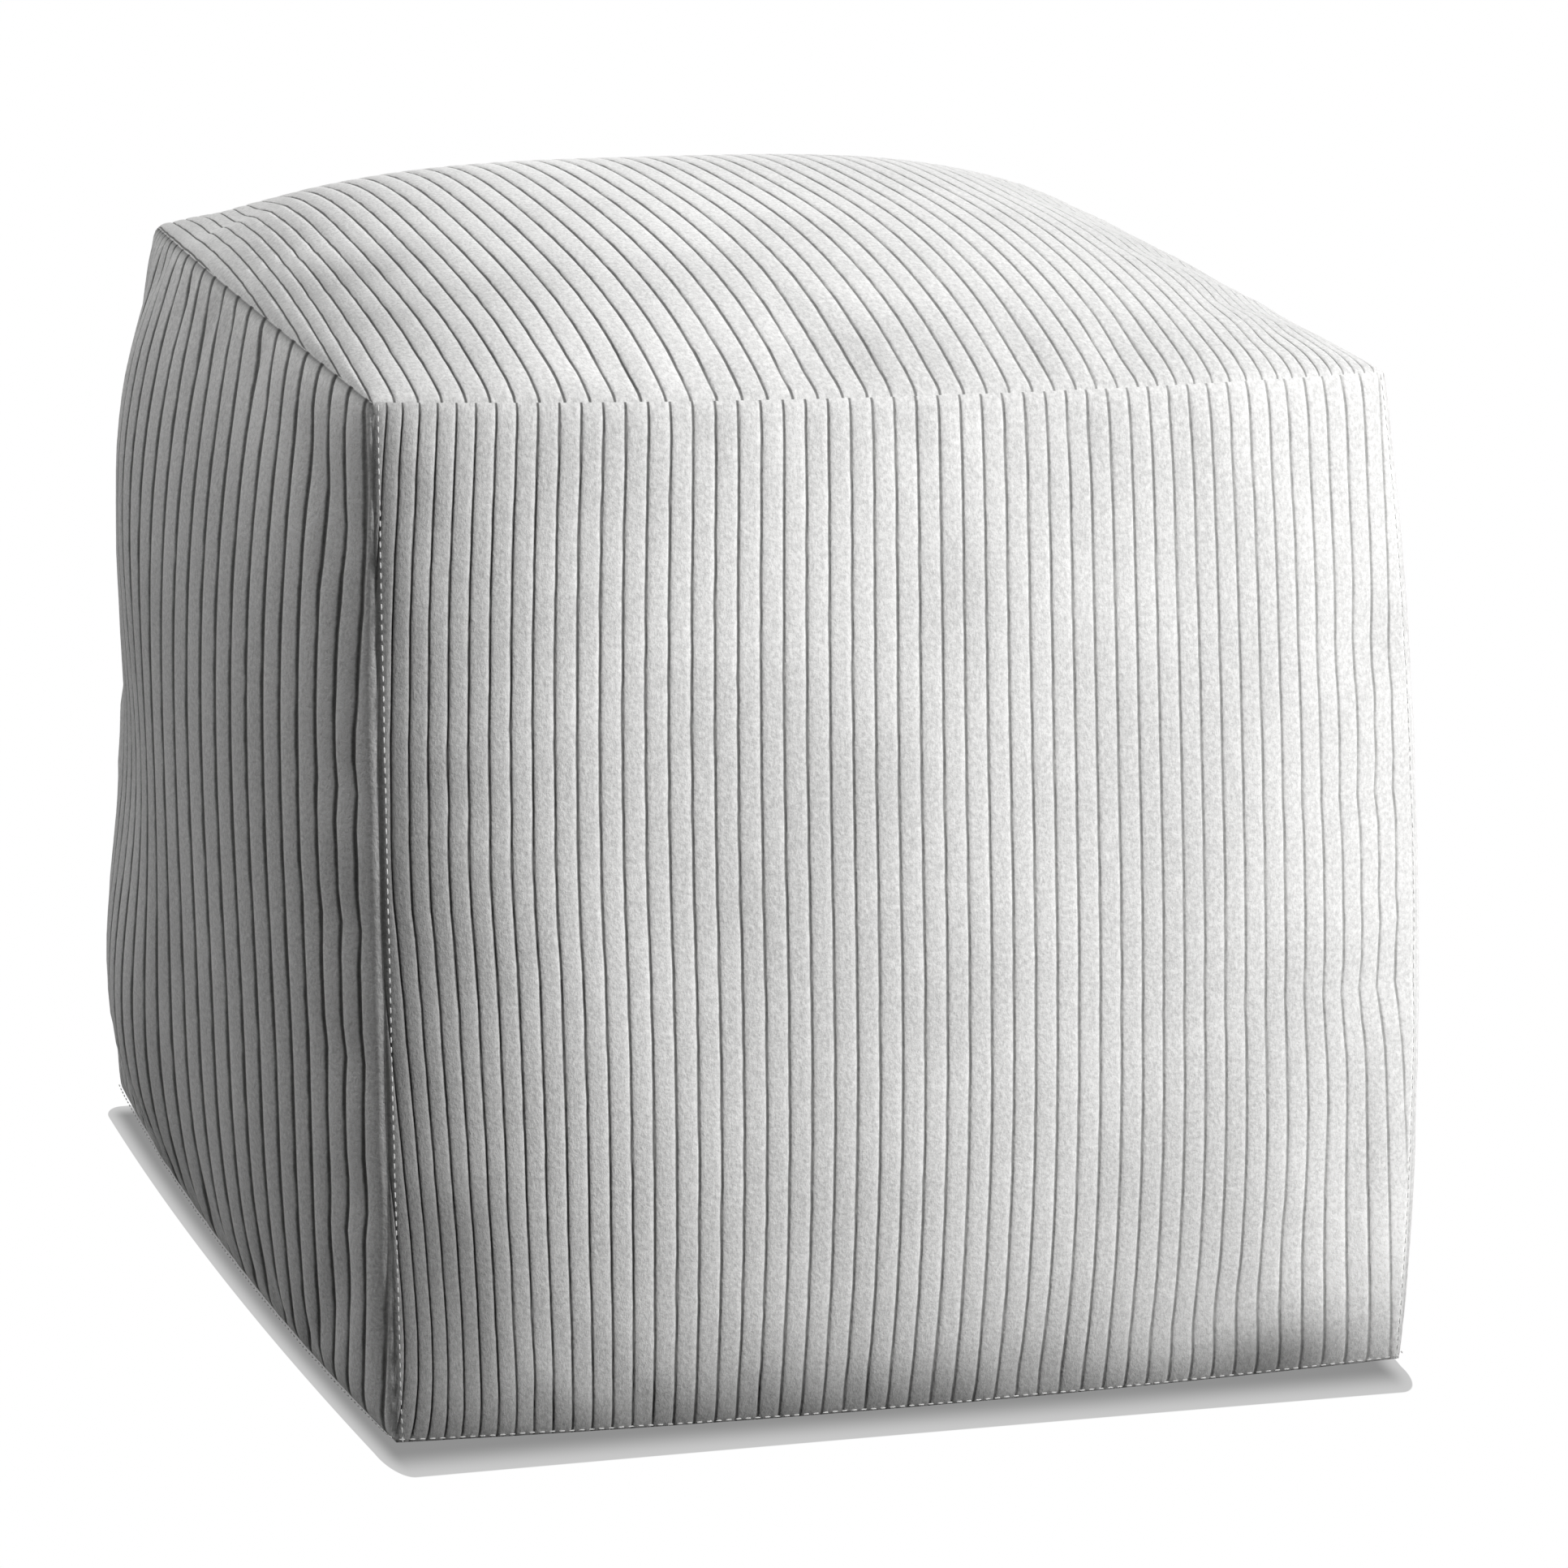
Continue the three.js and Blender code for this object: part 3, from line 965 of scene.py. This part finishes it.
def place_camera():
    """The photo's view, aimed near a target under the middle of the top."""
    data = bpy.data.cameras.new("camera")
    data.sensor_width = SENSOR
    data.lens = SENSOR * FOCAL_PIXELS / PHOTO_SIDE
    data.dof.use_dof = False
    camera = bpy.data.objects.new("camera", data)
    bpy.context.scene.collection.objects.link(camera)
    forward = np.array(
        (
            -math.sin(CAMERA_YAW) * math.cos(CAMERA_PITCH),
            math.cos(CAMERA_YAW) * math.cos(CAMERA_PITCH),
            -math.sin(CAMERA_PITCH),
        )
    )
    target = np.array((0.0, 0.0, TARGET_HEIGHT)) - MIDDLE
    place = target - CAMERA_DISTANCE * forward
    level = np.array((math.cos(CAMERA_YAW), math.sin(CAMERA_YAW), 0.0))
    upright = np.cross(level, forward)
    right = math.cos(CAMERA_ROLL) * level + math.sin(CAMERA_ROLL) * upright
    up = math.cos(CAMERA_ROLL) * upright - math.sin(CAMERA_ROLL) * level
    # The photo's framing has the target a little off its middle, so the camera aims beside it
    aim = forward - right * (TARGET_OFFSET[0] / FOCAL_PIXELS) + up * (TARGET_OFFSET[1] / FOCAL_PIXELS)
    aim /= np.linalg.norm(aim)
    right = np.cross(aim, up)
    right /= np.linalg.norm(right)
    up = np.cross(right, aim)
    turn = Matrix((right, up, -aim)).transposed().to_4x4()
    turn.translation = place * MM
    camera.matrix_world = turn
    bpy.context.scene.camera = camera


place_camera()


# Floor and light
FLOOR_HALF = 30.0
# The painted shadow round the base: how far inside each base seam it starts and how far it reaches from
# there, in millimetres, and the floor's brightness at its start and at its outer edge
PAINTED_SHADOWS = {"base_left": (0, 9), "base_right": (10, 11), "base_front": (0, 28), "base_back": (14, 15)}
PAINTED_SHADOW_GLOW = (0.28, 0.58)
# Where the painted shadow's outer edge starts and ends, as shares of its reach
PAINTED_SHADOW_EDGE = (0.97, 1.06)
# The softbox, in metres: where it stands from the cube, where it points, how far off it is, its
# power, half the width of its beam there and how soft that ends, and its own radius
KEY_DIRECTION = (0.54, -0.77, 0.34)
KEY_AIM = (0.1, -0.15, 0.34)
KEY_DISTANCE = 4.0
KEY_POWER = 690
KEY_REACH = 0.48
KEY_BLEND = 0.5
KEY_SOFTNESS = 0.15
# The studio's walls and ceiling: brightness overhead, and at the horizon behind the cube and to its
# left, how fast it falls from overhead, and the half height of the horizon's soft edge
SKY_OVERHEAD = 0.5
SKY_BEHIND = 2.1
SKY_LEFT = 0.1
SKY_FALL = 3.0
HORIZON = 0.02


def measure(tree, place, start, direction):
    """How far a place is from a start along a direction."""
    node = add_node(tree, "ShaderNodeVectorMath", operation="DOT_PRODUCT")
    link(tree, place, node.inputs[0])
    node.inputs[1].default_value = direction
    return math_node(tree, "SUBTRACT", node.outputs["Value"], float(np.dot(direction, start)))


def past_seam(tree, place, seam):
    """How far a place on the floor is outside a base seam, as a share of the painted shadow's reach."""
    first, last, bow = SEAMS[seam]
    start = (corner(first) - MIDDLE) * MM
    run = (corner(last) - MIDDLE) * MM - start
    run[2] = 0
    start[2] = 0
    outward = np.array((run[1], -run[0], 0)) / np.linalg.norm(run)
    if np.dot(outward, start) < 0:
        outward = -outward
    inset, reach = PAINTED_SHADOWS[seam]

    # The seam's bow at the place's share of the way along it
    share = measure(tree, place, start, run / np.dot(run, run))
    share = math_node(tree, "MINIMUM", math_node(tree, "MAXIMUM", share, 0.0), 1.0)
    arched = math_node(tree, "MULTIPLY", share, math_node(tree, "SUBTRACT", 1.0, share))
    bowed = math_node(tree, "MULTIPLY", arched, 4 * float(np.dot(bow, outward)) * MM)
    past = math_node(tree, "SUBTRACT", measure(tree, place, start, outward), bowed)
    past = math_node(tree, "ADD", past, inset * MM)
    return math_node(tree, "DIVIDE", math_node(tree, "MAXIMUM", past, 0.0), reach * MM)


def make_floor():
    """A floor that glows evenly white, with a narrow shadow painted round the base."""
    mesh = bpy.data.meshes.new("floor")
    corners = [(x * FLOOR_HALF, y * FLOOR_HALF, 0) for x, y in ((-1, -1), (1, -1), (1, 1), (-1, 1))]
    mesh.from_pydata(corners, [], [(0, 1, 2, 3)])
    floor = bpy.data.objects.new("floor", mesh)
    bpy.context.scene.collection.objects.link(floor)
    material = bpy.data.materials.new("floor")
    material.use_nodes = True
    tree = material.node_tree
    shader = tree.nodes["Principled BSDF"]
    shader.inputs["Base Color"].default_value = (0, 0, 0, 1)
    shader.inputs["Roughness"].default_value = 1.0
    shader.inputs["Specular IOR Level"].default_value = 0.0
    shader.inputs["Emission Color"].default_value = (1, 1, 1, 1)
    place = add_node(tree, "ShaderNodeTexCoord").outputs["Object"]
    # The painted shadow: the floor's glow dims near the base seams
    past = {seam: past_seam(tree, place, seam) for seam in PAINTED_SHADOWS}
    sideways = math_node(tree, "MAXIMUM", past["base_left"], past["base_right"])
    lengthways = math_node(tree, "MAXIMUM", past["base_front"], past["base_back"])
    squares = [math_node(tree, "POWER", share, 2.0) for share in (sideways, lengthways)]
    outside = math_node(tree, "SQRT", math_node(tree, "ADD", squares[0], squares[1]))
    clear = ramp(tree, outside, *PAINTED_SHADOW_EDGE)
    shaded = ramp(tree, outside, 0.0, 1.0, *PAINTED_SHADOW_GLOW)
    glow = math_node(tree, "MAXIMUM", shaded, clear)
    link(tree, glow, shader.inputs["Emission Strength"])
    mesh.materials.append(material)
    floor.visible_diffuse = False
    floor.visible_glossy = False


def make_key():
    """A soft lamp in front and to the right, which lights the cube and not the floor."""
    data = bpy.data.lights.new("key", "SPOT")
    data.energy = KEY_POWER
    data.spot_size = 2 * math.atan(KEY_REACH / KEY_DISTANCE)
    data.spot_blend = KEY_BLEND
    data.shadow_soft_size = KEY_SOFTNESS
    key = bpy.data.objects.new("key", data)
    bpy.context.scene.collection.objects.link(key)
    back = np.array(KEY_DIRECTION) / np.linalg.norm(KEY_DIRECTION)
    right = np.cross((0, 0, 1), back)
    right /= np.linalg.norm(right)
    turn = Matrix((right, np.cross(back, right), back)).transposed().to_4x4()
    turn.translation = np.array(KEY_AIM) + KEY_DISTANCE * back
    key.matrix_world = turn
    lit = bpy.data.collections.new("lit_by_key")
    lit.objects.link(cover)
    lit.objects.link(stitches)
    key.light_linking.receiver_collection = lit


def make_sky():
    """Soft light from overhead, behind and the left."""
    world = bpy.data.worlds.new("studio")
    world.use_nodes = True
    tree = world.node_tree
    direction = add_node(tree, "ShaderNodeTexCoord").outputs["Generated"]
    parts = add_node(tree, "ShaderNodeSeparateXYZ")
    link(tree, direction, parts.inputs[0])
    above = ramp(tree, parts.outputs["Z"], -HORIZON, HORIZON)
    height = math_node(tree, "POWER", math_node(tree, "MAXIMUM", parts.outputs["Z"], 0.0), SKY_FALL)
    behind = math_node(tree, "MAXIMUM", parts.outputs["Y"], 0.0)
    overhead = math_node(tree, "MULTIPLY", height, SKY_OVERHEAD)
    leftward = math_node(tree, "MAXIMUM", math_node(tree, "MULTIPLY", parts.outputs["X"], -1.0), 0.0)
    sides = math_node(tree, "MULTIPLY", behind, SKY_BEHIND)
    sides = math_node(tree, "ADD", sides, math_node(tree, "MULTIPLY", leftward, SKY_LEFT))
    glow = math_node(tree, "ADD", overhead, sides)
    background = tree.nodes["Background"]
    background.inputs["Color"].default_value = (1, 1, 1, 1)
    link(tree, math_node(tree, "MULTIPLY", above, glow), background.inputs["Strength"])
    bpy.context.scene.world = world


make_floor()
make_key()
make_sky()
bpy.context.scene.view_settings.view_transform = "Standard"
